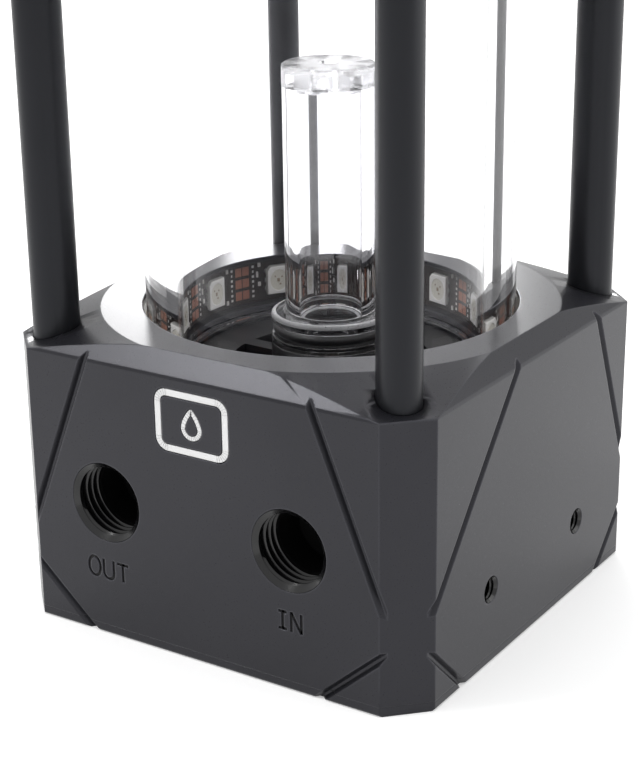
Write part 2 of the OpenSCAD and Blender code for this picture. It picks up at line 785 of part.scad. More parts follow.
module top_cap() {
    color("#2f3034") difference() {
        translate([0, 0, cap_z]) mirror([0, 0, 1]) block_form(cap_h);
        // tube and its seal
        translate([0, 0, cap_rim_z - 1]) cylinder(r = tube_r + tube_gap, h = tube_sink + 1);
        translate([0, 0, cap_rim_z - 1]) cylinder(r = tube_r + lip_gap, h = lip_t + 1);
        translate([0, 0, cap_seat_z - e]) cylinder(r = floor_r, h = floor_drop + e);
        translate([0, 0, cap_seat_z - e]) difference() {
            cylinder(r = seal_r + seal_d / 2 + 0.15, h = seal_d + e);
            translate([0, 0, -1]) cylinder(r = seal_r - seal_d / 2 - 0.15, h = seal_d + 2);
        }
        // rods and their screws
        translate([0, 0, cap_z]) mirror([0, 0, 1]) rod_holes(cap_z - rod_z1, cap_screw_sink);
        // fill port and two service ports
        for (x = [-cap_port_x, 0, cap_port_x]) translate([x, 0, cap_z]) {
            threaded_port(port_r, port_depth);
            translate([0, 0, -cap_h]) cylinder(r = riser_step_r, h = cap_h);
        }
        // corner grooves
        for (a = [0 : 90 : 270]) rotate([0, 0, a]) for (m = [0, 1]) mirror([m, 0, 0])
            groove([half - 17.2, cap_z + 0.6], [half - 4.6, cap_z - 10.6]);
    }
}

module port_plugs() {
    color("#3a3b3f") for (x = [-cap_port_x, cap_port_x]) translate([x, 0, cap_z]) plug();
}

module port_plug_seals() {
    color("#141414") for (x = [-cap_port_x, cap_port_x])
        translate([x, 0, cap_z + plug_seal_t / 2]) o_ring(plug_seal_r, plug_seal_t);
}

module fill_plug() { color("#3a3b3f") translate([0, 0, cap_z]) plug(); }

module fill_plug_seal() {
    color("#141414") translate([0, 0, cap_z + plug_seal_t / 2]) o_ring(plug_seal_r, plug_seal_t);
}

base_block();
bottom_plate();
bottom_plate_screws();
suction_plate();
pump_can();
pump_can_seal();
pump_shaft();
bearing_sleeve();
rotor_magnet();
impeller();
stator_core();
stator_coils();
control_board();
pump_housing();
pump_back_cover();
speed_dial();
pump_clamp_ring();
pump_clamp_screws();
led_strip();
leds();
lower_tube_seal();
glass_tube();
upper_tube_seal();
riser_tube();
riser_seal();
riser_cap();
rod_front_left();
rod_front_right();
rod_back_left();
rod_back_right();
base_rod_screws();
cap_rod_screws();
top_cap();
port_plugs();
port_plug_seals();
fill_plug();
fill_plug_seal();
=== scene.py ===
"""Coolant pump reservoir: looks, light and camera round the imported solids."""
from math import cos, pi, radians, sin, sqrt

import bmesh
import bpy
from mathutils import Matrix, Vector


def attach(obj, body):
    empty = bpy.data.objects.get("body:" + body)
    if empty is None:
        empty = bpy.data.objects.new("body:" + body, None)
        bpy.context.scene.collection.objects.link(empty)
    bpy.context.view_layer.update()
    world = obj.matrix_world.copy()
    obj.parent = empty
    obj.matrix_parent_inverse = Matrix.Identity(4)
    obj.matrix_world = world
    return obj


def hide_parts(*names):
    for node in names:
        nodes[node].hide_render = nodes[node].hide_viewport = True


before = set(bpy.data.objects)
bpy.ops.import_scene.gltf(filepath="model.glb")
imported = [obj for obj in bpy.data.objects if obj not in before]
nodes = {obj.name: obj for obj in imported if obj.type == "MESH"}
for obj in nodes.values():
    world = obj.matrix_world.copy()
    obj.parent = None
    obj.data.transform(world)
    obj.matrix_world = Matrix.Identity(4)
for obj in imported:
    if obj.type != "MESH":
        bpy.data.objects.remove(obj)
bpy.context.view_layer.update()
MM = 0.001

# ------------------------------------------------------------------ sizes, in millimetres

HALF = 38.2                                  # half the width of the base
SEAT_Z = 40.0                                # foot of the clear tube
TUBE_R, TUBE_BORE, TUBE_LEN = 30.0, 25.0, 150.0
TUBE_BEVEL = 0.35
TANK_ABOVE, TANK_BELOW = 3.5, 12.0           # reach of the tank's painted shade, from the seat
PORT_XS, PORT_Z = (-17.8, 16.6), 23.0
PORT_ROOT, PORT_CREST, PORT_PITCH = 6.55, 5.75, 1.337
THREAD_LEN, PORT_DEPTH, LINER = 6.0, 11.6, 0.1
SIDE_HOLE_Y, SIDE_HOLE_Z = 15.0, 12.6
SIDE_ROOT, SIDE_CREST, SIDE_PITCH, SIDE_LEN = 2.04, 1.65, 0.7, 7.5
STRIP_Z, STRIP_INNER = 44.8, 32.5            # middle line and inner face of the lit strip
LAMP_COUNT, LAMP_START, LAMP_STEP, LAMP_W = 12, 113.0, 29.5, 5.0
ENGRAVED = 0.3                               # depth of letters and badge in the port face

CAMERA_AT = (153.93, -239.64, 136.76)
CAMERA_YAW, CAMERA_PITCH, CAMERA_ROLL = 33.11, 19.887, 0.733    # degrees
CAMERA_LENS, CAMERA_SENSOR = 84.65806, 36


# ------------------------------------------------------------------ camera

def place_camera():
    yaw, pitch, roll = radians(CAMERA_YAW), radians(CAMERA_PITCH), radians(CAMERA_ROLL)
    forward = Vector((-sin(yaw) * cos(pitch), cos(yaw) * cos(pitch), -sin(pitch)))
    right = Vector((cos(yaw), sin(yaw), 0))
    down = forward.cross(right)
    right_r = cos(roll) * right + sin(roll) * down
    down_r = cos(roll) * down - sin(roll) * right
    cam = bpy.data.cameras.new("camera")
    cam.sensor_width, cam.sensor_fit = CAMERA_SENSOR, "AUTO"
    cam.lens = CAMERA_LENS
    cam.clip_start, cam.clip_end = 0.01, 20
    ob = bpy.data.objects.new("camera", cam)
    rot = Matrix((right_r, -down_r, -forward)).transposed()
    ob.matrix_world = Matrix.Translation(Vector(CAMERA_AT) * MM) @ rot.to_4x4()
    bpy.context.scene.collection.objects.link(ob)
    bpy.context.scene.camera = ob


# ------------------------------------------------------------------ shader tools

FINE_GRAIN, SLOW_CLOUD = 4200, 45            # noise per metre
NOISE_SPAN = (0.3, 0.7)                      # the part of a noise's range that is used
BEVEL_SAMPLES = 6
EDGE_HIGHLIGHT_WIDTH = 1.6                             # width of the painted edge highlight against the softened edge
BUMP_DEPTH = 0.00003
FLAT_TO_EDGE = (0.995, 0.90)                 # how far a softened normal leans, as a cosine
SEAM_FADE = (0.002, 0.006)                   # no painted highlight line at the seam of the bottom plate
CLEAR_CLOUD, CLEAR_VARIES = 0.35, 1.006
DRAW_SCALE, DRAW_STRETCH, DRAW_SPAN = 150, 0.02, (0.50, 0.72)    # draw lines along clear tubes


def group(name, inputs, outputs):
    g = bpy.data.node_groups.new(name, "ShaderNodeTree")
    for n, kind, value in inputs:
        s = g.interface.new_socket(n, in_out="INPUT", socket_type=kind)
        s.default_value = value
    for n, kind in outputs:
        g.interface.new_socket(n, in_out="OUTPUT", socket_type=kind)
    return g, g.nodes.new("NodeGroupInput"), g.nodes.new("NodeGroupOutput")


def noise(tree, vector, scale, detail):
    node = tree.nodes.new("ShaderNodeTexNoise")
    node.inputs["Scale"].default_value, node.inputs["Detail"].default_value = scale, detail
    tree.links.new(vector, node.inputs["Vector"])
    return node.outputs["Fac"]


def map_range(tree, value, low, high, to_low=0.0, to_high=1.0):
    node = tree.nodes.new("ShaderNodeMapRange")
    for name, number in (("From Min", low), ("From Max", high), ("To Min", to_low), ("To Max", to_high)):
        node.inputs[name].default_value = number
    tree.links.new(value, node.inputs["Value"])
    return node.outputs[0]


def mix(tree, factor, a, b):
    """Blend of two colours; the first may be the socket of an earlier blend."""
    node = tree.nodes.new("ShaderNodeMix"); node.data_type = "RGBA"
    tree.links.new(factor, node.inputs["Factor"])
    if isinstance(a, tuple):
        node.inputs["A"].default_value = a
    else:
        tree.links.new(a, node.inputs["A"])
    node.inputs["B"].default_value = b
    return node.outputs["Result"]


def make_grain_group():
    """Fine blasted or moulded grain, and slow cloudy variation."""
    g, i, o = group("grain", [("Scale", "NodeSocketFloat", 1.0)],
                    [("Fine", "NodeSocketFloat"), ("Cloud", "NodeSocketFloat")])
    coords = g.nodes.new("ShaderNodeTexCoord")
    scaled = g.nodes.new("ShaderNodeVectorMath"); scaled.operation = "SCALE"
    g.links.new(coords.outputs["Object"], scaled.inputs[0])
    g.links.new(i.outputs["Scale"], scaled.inputs["Scale"])
    g.links.new(noise(g, scaled.outputs[0], FINE_GRAIN, 3), o.inputs["Fine"])
    g.links.new(noise(g, scaled.outputs[0], SLOW_CLOUD, 4), o.inputs["Cloud"])
    return g


def make_edge_group():
    """Mask of the painted highlight on the soft machined edges: 1 on an edge, 0 on a flat."""
    g, i, o = group("painted_edge_highlight", [("Radius", "NodeSocketFloat", 0.0004)], [("Edge", "NodeSocketFloat")])
    ln = g.links.new
    bevel = g.nodes.new("ShaderNodeBevel"); bevel.samples = BEVEL_SAMPLES
    geo = g.nodes.new("ShaderNodeNewGeometry")
    dot = g.nodes.new("ShaderNodeVectorMath"); dot.operation = "DOT_PRODUCT"
    ln(i.outputs["Radius"], bevel.inputs["Radius"])
    ln(bevel.outputs[0], dot.inputs[0]); ln(geo.outputs["Normal"], dot.inputs[1])
    coords = g.nodes.new("ShaderNodeTexCoord")
    split = g.nodes.new("ShaderNodeSeparateXYZ")
    ln(coords.outputs["Object"], split.inputs[0])
    both = g.nodes.new("ShaderNodeMath"); both.operation = "MULTIPLY"
    ln(map_range(g, dot.outputs["Value"], *FLAT_TO_EDGE), both.inputs[0])
    ln(map_range(g, split.outputs["Z"], *SEAM_FADE), both.inputs[1])
    ln(both.outputs[0], o.inputs["Edge"])
    return g


grain_group = make_grain_group()
edge_highlight_group = make_edge_group()


def place_group(mat, g, **values):
    n = mat.node_tree.nodes.new("ShaderNodeGroup")
    n.node_tree = g
    for k, v in values.items():
        n.inputs[k].default_value = v
    return n


def new_material(name, **sockets):
    mat = bpy.data.materials.new(name)
    mat.use_nodes = True
    bsdf = mat.node_tree.nodes["Principled BSDF"]
    for k, v in sockets.items():
        bsdf.inputs[k.replace("_", " ")].default_value = v
    return mat, bsdf


def rgb(r, g, b):
    return (r, g, b, 1.0)


def surface(name, dark, light, rough, spread, grain=1.0, bump=0.15, edge=None, edge_radius=0.0002, **sockets):
    """A solid finish: two near colours clouded together, grain in the roughness and bump, softened edges, and a
    lighter painted highlight along the machined edges where a colour for it is given.
    """
    mat, bsdf = new_material(name, **sockets)
    nt = mat.node_tree; ln = nt.links.new
    grained = place_group(mat, grain_group, Scale=grain)
    colour = mix(nt, map_range(nt, grained.outputs["Cloud"], *NOISE_SPAN), rgb(*dark), rgb(*light))
    # painted highlight: the machined edges are lightened towards the given edge colour
    if edge:
        painted_highlight = place_group(mat, edge_highlight_group, Radius=edge_radius * EDGE_HIGHLIGHT_WIDTH)
        colour = mix(nt, painted_highlight.outputs["Edge"], colour, rgb(*edge))
    ln(colour, bsdf.inputs["Base Color"])
    ln(map_range(nt, grained.outputs["Fine"], *NOISE_SPAN, rough - spread, rough + spread), bsdf.inputs["Roughness"])
    bumped = nt.nodes.new("ShaderNodeBump")
    bumped.inputs["Strength"].default_value, bumped.inputs["Distance"].default_value = bump, BUMP_DEPTH
    ln(grained.outputs["Fine"], bumped.inputs["Height"])
    if edge_radius:
        bevel = nt.nodes.new("ShaderNodeBevel"); bevel.samples = BEVEL_SAMPLES
        bevel.inputs["Radius"].default_value = edge_radius
        ln(bevel.outputs[0], bumped.inputs["Normal"])
    ln(bumped.outputs[0], bsdf.inputs["Normal"])
    return mat


def clear(name, ior, tint, rough, haze=0.0, streak=None, **sockets):
    """Clear plastic: faint smears in its polish, from haze to rough, and darker draw lines along Z."""
    mat, bsdf = new_material(name, IOR=ior, Transmission_Weight=1.0, **sockets)
    nt = mat.node_tree; ln = nt.links.new
    cloud = place_group(mat, grain_group, Scale=CLEAR_CLOUD).outputs["Cloud"]
    tinted = mix(nt, cloud, rgb(*tint), rgb(*[min(1, c * CLEAR_VARIES) for c in tint]))
    if streak:
        coords = nt.nodes.new("ShaderNodeTexCoord")
        stretch = nt.nodes.new("ShaderNodeMapping")
        stretch.inputs["Scale"].default_value = (1, 1, DRAW_STRETCH)
        ln(coords.outputs["Object"], stretch.inputs["Vector"])
        lines = map_range(nt, noise(nt, stretch.outputs[0], DRAW_SCALE, 3), *DRAW_SPAN)
        tinted = mix(nt, lines, tinted, rgb(*streak))
    ln(tinted, bsdf.inputs["Base Color"])
    ln(map_range(nt, cloud, 0, 1, haze, rough), bsdf.inputs["Roughness"])
    return mat


# the edge colours below are painted highlights along the machined edges
block_black = surface("block_black", (0.010, 0.010, 0.0125), (0.014, 0.014, 0.017), 0.30, 0.03, grain=1.0,
                      bump=0.08, edge=(0.05, 0.05, 0.058), edge_radius=0.0003, IOR=1.42,
                      Specular_Tint=rgb(0.92, 0.92, 1.0))
# painted shade: the threads deep in the holes are a darker copy of the block's finish
threads_painted_shade = surface("port_threads", (0.003, 0.003, 0.0034), (0.005, 0.005, 0.0056), 0.17, 0.04, bump=0.08,
                       edge_radius=0)
rod_black = surface("rod_black", (0.005, 0.0053, 0.0063), (0.008, 0.0083, 0.0098), 0.36, 0.06, grain=0.9,
                    bump=0.12, edge_radius=0.0003, IOR=1.36, Specular_Tint=rgb(0.90, 0.92, 1.0))
plate_black = surface("plate_black", (0.012, 0.012, 0.013), (0.018, 0.018, 0.02), 0.45, 0.06,
                      edge=(0.06, 0.06, 0.065))
screw_black = surface("screw_black", (0.02, 0.02, 0.022), (0.04, 0.04, 0.043), 0.35, 0.08, bump=0.2,
                      edge=(0.12, 0.12, 0.125), edge_radius=0.00012, Metallic=1.0)
screw_steel = surface("screw_steel", (0.5, 0.5, 0.5), (0.62, 0.62, 0.61), 0.3, 0.08, bump=0.15,
                      edge_radius=0.0001, Metallic=1.0)
moulded_black = surface("moulded_black", (0.02, 0.02, 0.021), (0.032, 0.032, 0.034), 0.52, 0.08, grain=0.7,
                        bump=0.4)
seal_black = surface("seal_black", (0.008, 0.008, 0.0085), (0.014, 0.014, 0.015), 0.38, 0.08, grain=0.8,
                     bump=0.15, edge_radius=0)
ceramic_white = surface("ceramic_white", (0.76, 0.75, 0.71), (0.82, 0.81, 0.77), 0.18, 0.04, bump=0.05)
carbon_grey = surface("carbon_grey", (0.03, 0.03, 0.032), (0.06, 0.06, 0.062), 0.5, 0.1, bump=0.3)
ferrite_grey = surface("ferrite_grey", (0.05, 0.047, 0.045), (0.085, 0.08, 0.075), 0.55, 0.1, grain=0.5,
                       bump=0.5)
impeller_grey = surface("impeller_grey", (0.26, 0.27, 0.29), (0.31, 0.32, 0.34), 0.42, 0.06, bump=0.2)
core_steel = surface("core_steel", (0.28, 0.28, 0.29), (0.40, 0.40, 0.40), 0.4, 0.1, bump=0.3, Metallic=1.0)
copper_wire = surface("copper_wire", (0.45, 0.17, 0.06), (0.60, 0.25, 0.10), 0.3, 0.08, bump=0.5,
                      Metallic=0.9)
board_green = surface("board_green", (0.010, 0.07, 0.03), (0.016, 0.10, 0.045), 0.3, 0.06, bump=0.1)
dial_red = surface("dial_red", (0.42, 0.035, 0.02), (0.52, 0.05, 0.03), 0.35, 0.06, bump=0.1)
clamp_dark = surface("clamp_dark", (0.035, 0.035, 0.038), (0.055, 0.055, 0.058), 0.38, 0.06,
                     edge=(0.15, 0.15, 0.155), Metallic=0.6)
film_dark = surface("film_dark", (0.020, 0.014, 0.013), (0.032, 0.023, 0.021), 0.42, 0.06, bump=0.1,
                    edge_radius=0)
pad_copper = surface("pad_copper", (0.33, 0.13, 0.085), (0.47, 0.20, 0.13), 0.38, 0.08, bump=0.2,
                     edge_radius=0)
print_white = surface("print_white", (0.62, 0.60, 0.57), (0.78, 0.76, 0.73), 0.5, 0.05, bump=0.1,
                      edge_radius=0)
solder = surface("solder", (0.62, 0.62, 0.6), (0.8, 0.8, 0.78), 0.25, 0.08, bump=0.2, edge_radius=0,
                 Metallic=1.0)
lamp_white = surface("lamp_white", (0.86, 0.85, 0.82), (0.90, 0.89, 0.87), 0.35, 0.05, bump=0.08,
                     edge_radius=0.0001)
lamp_lens = surface("lamp_lens", (0.74, 0.72, 0.64), (0.80, 0.78, 0.71), 0.12, 0.03, bump=0.03, edge_radius=0)
lamp_chip = surface("lamp_chip", (0.34, 0.27, 0.20), (0.44, 0.36, 0.28), 0.3, 0.08, bump=0.1, edge_radius=0)
badge_white = surface("badge_white", (0.80, 0.80, 0.80), (0.86, 0.86, 0.86), 0.4, 0.05, bump=0.05)
# painted shade: near-black liners put in the deep port bores
bore_painted_shade = surface("bore_painted_shade", (0.002, 0.002, 0.0022), (0.003, 0.003, 0.0033), 0.6, 0.05, bump=0.1,
                     edge_radius=0, IOR=1.3)
# painted shade: a darker, less reflective copy of the block's finish for the inside of the tank
tank_painted_shade = surface("tank_painted_shade", (0.005, 0.005, 0.006), (0.008, 0.008, 0.0095), 0.42, 0.06, bump=0.2,
                     edge_radius=0, IOR=1.3)
# painted shade: near-black sheets at the bottom of the engraved letters
letters_painted_shade = surface("letters_painted_shade", (0.004, 0.004, 0.0045), (0.007, 0.007, 0.008), 0.5, 0.05, bump=0.1,
                         edge_radius=0, IOR=1.3)
tube_clear = clear("tube_clear", 1.49, (0.966, 0.965, 0.974), 0.02, streak=(0.90, 0.895, 0.925),
                   Specular_Tint=rgb(0.15, 0.15, 0.16))
riser_clear = clear("riser_clear", 1.49, (0.975, 0.975, 0.985), 0.03, streak=(0.93, 0.93, 0.955))
# painted highlight: a pale, half-clear copy of the acrylic for the collar's outer top edge and the inner step
riser_painted_highlight = surface("riser_painted_highlight", (0.80, 0.80, 0.82), (0.88, 0.88, 0.90), 0.32, 0.06, bump=0.2,
                     edge_radius=0, IOR=1.49, Transmission_Weight=0.78)
riser_frost = clear("riser_frost", 1.49, (0.965, 0.967, 0.978), 0.34, 0.14)


# ------------------------------------------------------------------ mesh tools

def piece(name, verts, faces, slot, mat, body="frame", sharp=35, replaces=()):
    """A mesh in millimetres that rides on a body."""
    me = bpy.data.meshes.new(name)
    me.from_pydata([(x * MM, y * MM, z * MM) for x, y, z in verts], [], faces)
    bm = bmesh.new(); bm.from_mesh(me)
    bmesh.ops.recalc_face_normals(bm, faces=bm.faces)
    bm.to_mesh(me); bm.free()
    me.shade_smooth()
    me.set_sharp_from_angle(angle=radians(sharp))
    me.materials.append(mat)
    ob = bpy.data.objects.new(name, me)
    bpy.context.scene.collection.objects.link(ob)
    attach(ob, body)
    if replaces:
        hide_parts(*replaces)
    return ob


def lathe(profile, segments=192, place=None):
    """Closed profile of (radius, height) turned about Z."""
    n = len(profile)
    verts = [(r * cos(2 * pi * s / segments), r * sin(2 * pi * s / segments), z)
             for s in range(segments) for r, z in profile]
    faces = []
    for s in range(segments):
        here, there = s * n, (s + 1) % segments * n
        faces += [(here + k, here + (k + 1) % n, there + (k + 1) % n, there + k) for k in range(n)]
    if place:
        verts = [tuple(place @ Vector(v)) for v in verts]
    return verts, faces


def rounded(profile, steps=6, share=0.38, ease=0.2):
    """Closed profile of (radius, height, rounding) with its corners rounded."""
    out = []
    n = len(profile)
    for k in range(n):
        p, a, b = (Vector(profile[m][:2]) for m in (k, k - 1, (k + 1) % n))
        d = min(profile[k][2], (p - a).length * share, (p - b).length * share)
        to_a, to_b = (a - p).normalized(), (b - p).normalized()
        s, e = p + to_a * d, p + to_b * d
        out.append(tuple(s + to_a * d * ease))
        for i in range(steps + 1):
            t = i / steps
            out.append(tuple((1 - t) ** 2 * s + 2 * t * (1 - t) * p + t * t * e))
        out.append(tuple(e + to_b * d * ease))
    return out


def box_mesh(x0, y0, z0, x1, y1, z1):
    v = [(x, y, z) for z in (z0, z1) for y in (y0, y1) for x in (x0, x1)]
    f = [(0, 2, 3, 1), (4, 5, 7, 6), (0, 1, 5, 4), (2, 6, 7, 3), (0, 4, 6, 2), (1, 3, 7, 5)]
    return v, f


def join(parts):
    verts, faces = [], []
    for v, f in parts:
        k = len(verts)
        verts += v
        faces += [tuple(i + k for i in q) for q in f]
    return verts, faces


def moved(part, m):
    v, f = part
    return [tuple(m @ Vector(p)) for p in v], f


# one turn of an internal thread: (share of the pitch, share of the way from crest to root)
THREAD_TURN = [(0.0, 0.0), (0.12, 0.0), (0.42, 1.0), (0.58, 1.0), (0.88, 0.0)]
RUN_IN_GAP, RUN_IN, RUN_OUT = 0.1, 0.7, 0.6


def thread(root, crest, pitch, length, place, sides=72, mouth=0.65):
    """Internal thread behind a conical mouth: rows of points follow the helix."""
    rows = []
    for t in range(-1, int(length / pitch) + 2):
        rows += [((t + s) * pitch, d) for s, d in THREAD_TURN]
    verts, faces = [], []
    for i in range(sides + 1):
        a = 2 * pi * i / sides
        column = [(root, 0.01), (root - (root - crest) * 0.5, mouth * 0.5), (crest, mouth)]
        for z, d in rows:
            zz = max(mouth + 0.01, min(length, z + pitch * i / sides))
            cut = max(0.0, min(1.0, (zz - mouth - RUN_IN_GAP) / RUN_IN))
            end = max(0.0, min(1.0, (length - zz) / RUN_OUT))
            column.append((root - (root - crest) * (1 - (1 - d) * cut) * end, zz))
        verts += [(r * cos(a), r * sin(a), -zz) for r, zz in column]
    n = len(rows) + 3
    for i in range(sides):
        for k in range(n - 1):
            faces.append((i * n + k, i * n + k + 1, (i + 1) * n + k + 1, (i + 1) * n + k))
    return [tuple(place @ Vector(v)) for v in verts], faces


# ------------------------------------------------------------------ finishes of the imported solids

def dress_solids():
    finish = {
        "base_block": block_black, "top_cap": block_black, "bottom_plate": block_black,
        "bottom_plate_screws": screw_black, "base_rod_screws": screw_black, "cap_rod_screws": screw_black,
        "pump_clamp_screws": screw_steel, "suction_plate": moulded_black, "pump_can": moulded_black,
        "pump_can_seal": seal_black, "pump_shaft": ceramic_white, "bearing_sleeve": carbon_grey,
        "rotor_magnet": ferrite_grey, "impeller": impeller_grey, "stator_core": core_steel,
        "stator_coils": copper_wire, "control_board": board_green, "pump_housing": moulded_black,
        "pump_back_cover": moulded_black, "speed_dial": dial_red, "pump_clamp_ring": clamp_dark,
        "lower_tube_seal": seal_black, "upper_tube_seal": seal_black, "riser_seal": seal_black,
        "rod_front_left": rod_black, "rod_front_right": rod_black, "rod_back_left": rod_black,
        "rod_back_right": rod_black, "port_plugs": plate_black, "port_plug_seals": seal_black,
        "fill_plug": plate_black, "fill_plug_seal": seal_black, "led_strip": film_dark, "leds": lamp_white,
        "glass_tube": tube_clear, "riser_tube": riser_clear, "riser_cap": riser_frost,
    }
    for name, mat in finish.items():
        slots = nodes[name].data.materials
        slots.clear()
        slots.append(mat)
    # painted shade inside the tank: its floor and walls get a darker, duller copy of the block's finish
    block = nodes["base_block"].data
    block.materials.append(tank_painted_shade)
    for face in block.polygons:
        in_depth = (SEAT_Z - TANK_BELOW) * MM < face.center.z < (SEAT_Z + TANK_ABOVE) * MM
        if in_depth and Vector(face.center[:2]).length < TUBE_BORE * MM:
            face.material_index = 1


# ------------------------------------------------------------------ clear tube and riser

def lets_light_in(ob):
    """Clear pieces cast no shadow and do not darken what stands in them."""
    ob.visible_shadow = False
    ob.visible_diffuse = False


def build_clear_tube():
    z0, z1, c = SEAT_Z, SEAT_Z + TUBE_LEN, TUBE_BEVEL
    profile = [(TUBE_BORE, z0 + c), (TUBE_BORE + c, z0), (TUBE_R - c, z0), (TUBE_R, z0 + c),
               (TUBE_R, z1 - c), (TUBE_R - c, z1), (TUBE_BORE + c, z1), (TUBE_BORE, z1 - c)]
    v, f = lathe(profile, 320)
    lets_light_in(piece("clear_tube", v, f, "clear_tube", tube_clear, sharp=30, replaces=["glass_tube"]))


def build_riser():
    foot, boss, seal, collar, top = 38.4, 43.0, 44.4, 46.3, 84.7
    step, lip = collar + 0.8, collar + 1.7
    bore, stem, flange, neck, body, inside = 4.35, 6.4, 9.8, 7.6, 7.4, 5.1
    profile = [(bore, foot, 0.1), (stem, foot, 0.3), (stem, boss, 0.1), (flange, boss, 0.3), (flange, seal, 0.3),
               (neck, seal, 0.1), (neck, collar, 0.1), (flange, collar, 0.45), (flange, lip, 0.7),
               (body, lip, 0.5), (body, top, 0.1), (inside, top, 0.1), (inside, step, 0.9), (bore, step, 0.1)]
    v, f = lathe(rounded(profile))
    riser = piece("riser", v, f, "clear_acrylic", riser_clear, sharp=50, replaces=["riser_tube"])
    # painted highlight on the collar's outer top edge and the inner step
    riser.data.materials.append(riser_painted_highlight)
    for face in riser.data.polygons:
        r, z = Vector(face.center[:2]).length / MM, face.center.z / MM
        outer_edge = r > flange - 0.9 and z > collar + 1.0
        inner_step = r < inside - 0.1 and abs(z - step) < 0.35
        if outer_edge or inner_step:
            face.material_index = 1
    lets_light_in(riser)
    lets_light_in(nodes["riser_cap"])


# ------------------------------------------------------------------ lit ring

def on_strip(angle, across, up, lift):
    """A point on the strip's inner face: across and up in mm from its middle line, lift towards the axis."""
    a = radians(angle) + across / STRIP_INNER
    r = STRIP_INNER - lift
    return (r * cos(a), r * sin(a), STRIP_Z + up)


def patch(angle, x0, x1, z0, z1, thick, cuts=2):
    """A thin curved plate on the strip."""
    verts, faces = [], []
    for lift in (0.0, thick):
        for i in range(cuts + 1):
            x = x0 + (x1 - x0) * i / cuts
            verts += [on_strip(angle, x, z0, lift), on_strip(angle, x, z1, lift)]
    n = 2 * (cuts + 1)
    for i in range(cuts):
        a, b, c, d = 2 * i, 2 * i + 1, 2 * i + 3, 2 * i + 2
        faces += [(a, b, c, d), (a + n, d + n, c + n, b + n), (a, d, d + n, a + n), (b, b + n, c + n, c)]
    faces += [(0, n, n + 1, 1), (n - 2, n - 1, 2 * n - 1, 2 * n - 2)]
    return verts, faces


LAMP_SINK, LAMP_CUT = 0.02, 0.7              # seat in the strip, cut corner of the housing
LAMP_SIDE, LAMP_TOP, LAMP_TOP_SHARE = 1.25, 1.38, 0.965
DISH_R, DISH_FLOOR, DISH_FLOOR_SHARE = 1.95, 0.95, 0.86
LENS_RINGS = ((0.97, 1.30), (0.6, 1.22))     # (share of the dish, height)
LENS_MIDDLE = 1.2
CHIP_FOOT, CHIP_TOP = 1.2, 1.33
CHIPS = ((0.1, 0.0, 0.26, 0.30), (-0.65, 0.55, 0.14, 0.14), (-0.3, -0.75, 0.18, 0.14), (0.8, 0.7, 0.12, 0.14))
LEG_PITCH, LEG_HALF, LEG_IN, LEG_OUT, LEG_TOP = 1.6, 0.45, 0.35, 0.38, 0.22
RING = 40


def lamp_rim():
    """Square with one cut corner, as points at even angles."""
    half, points = LAMP_W / 2, []
    for k in range(RING):
        c, s = cos(2 * pi * k / RING), sin(2 * pi * k / RING)
        reach = half / max(abs(c), abs(s))
        if reach * c + reach * s > 2 * half - LAMP_CUT:
            reach = (2 * half - LAMP_CUT) / (c + s)
        points.append((reach * c, reach * s))
    return points


def ring_faces(count):
    """Walls between count + 1 rings of points."""
    return [(r * RING + k, r * RING + (k + 1) % RING, (r + 1) * RING + (k + 1) % RING, (r + 1) * RING + k)
            for r in range(count) for k in range(RING)]


def lamp_parts():
    """Housing with a round dish, and the clear filling that stands a little lower in it."""
    rim = lamp_rim()
    dish = [(DISH_R * cos(2 * pi * k / RING), DISH_R * sin(2 * pi * k / RING)) for k in range(RING)]
    levels = ((rim, 1, 0.0), (rim, 1, LAMP_SIDE), (rim, LAMP_TOP_SHARE, LAMP_TOP), (dish, 1, LAMP_TOP),
              (dish, DISH_FLOOR_SHARE, DISH_FLOOR))
    verts = [(x * share, y * share, z) for line, share, z in levels for x, y in line]
    last = (len(levels) - 1) * RING
    faces = ring_faces(len(levels) - 1) + [tuple(range(last, last + RING)), tuple(reversed(range(RING)))]
    lens_verts = [(x * share, y * share, z) for share, z in LENS_RINGS for x, y in dish] + [(0, 0, LENS_MIDDLE)]
    lens_faces = [(k, (k + 1) % RING, RING + (k + 1) % RING, RING + k) for k in range(RING)]
    lens_faces += [(RING + k, RING + (k + 1) % RING, 2 * RING) for k in range(RING)]
    return (verts, faces), (lens_verts, lens_faces)


def build_lamps():
    housings, lenses, chips, legs = [], [], [], []
    half = LAMP_W / 2
    back = sqrt(STRIP_INNER ** 2 - half ** 2) - LAMP_SINK
    facing_axis = Matrix(((0, 0, -1, 0), (1, 0, 0, 0), (0, 1, 0, 0), (0, 0, 0, 1)))
    housing, lens = lamp_parts()
    for i in range(LAMP_COUNT):
        turn = Matrix.Rotation(radians(LAMP_START + i * LAMP_STEP), 4, "Z") \
            @ Matrix.Translation((back, 0, STRIP_Z)) @ facing_axis
        housings.append(moved(housing, turn))
        lenses.append(moved(lens, turn))
        for x, y, w, d in CHIPS:
            chips.append(moved(box_mesh(x - w, y - d, CHIP_FOOT, x + w, y + d, CHIP_TOP), turn))
        for s in (-1, 1):
            for z in (-LEG_PITCH, 0, LEG_PITCH):
                leg = box_mesh(s * half - LEG_IN, z - LEG_HALF, -LAMP_SINK, s * half + LEG_OUT, z + LEG_HALF, LEG_TOP)
                legs.append(moved(leg, turn))
    piece("lamp_housings", *join(housings), "lamp_white", lamp_white, sharp=30, replaces=["leds"])
    piece("lamp_lenses", *join(lenses), "lamp_white", lamp_lens)
    piece("lamp_chips", *join(chips), "lamp_white", lamp_chip)
    piece("lamp_legs", *join(legs), "strip_film", solder)


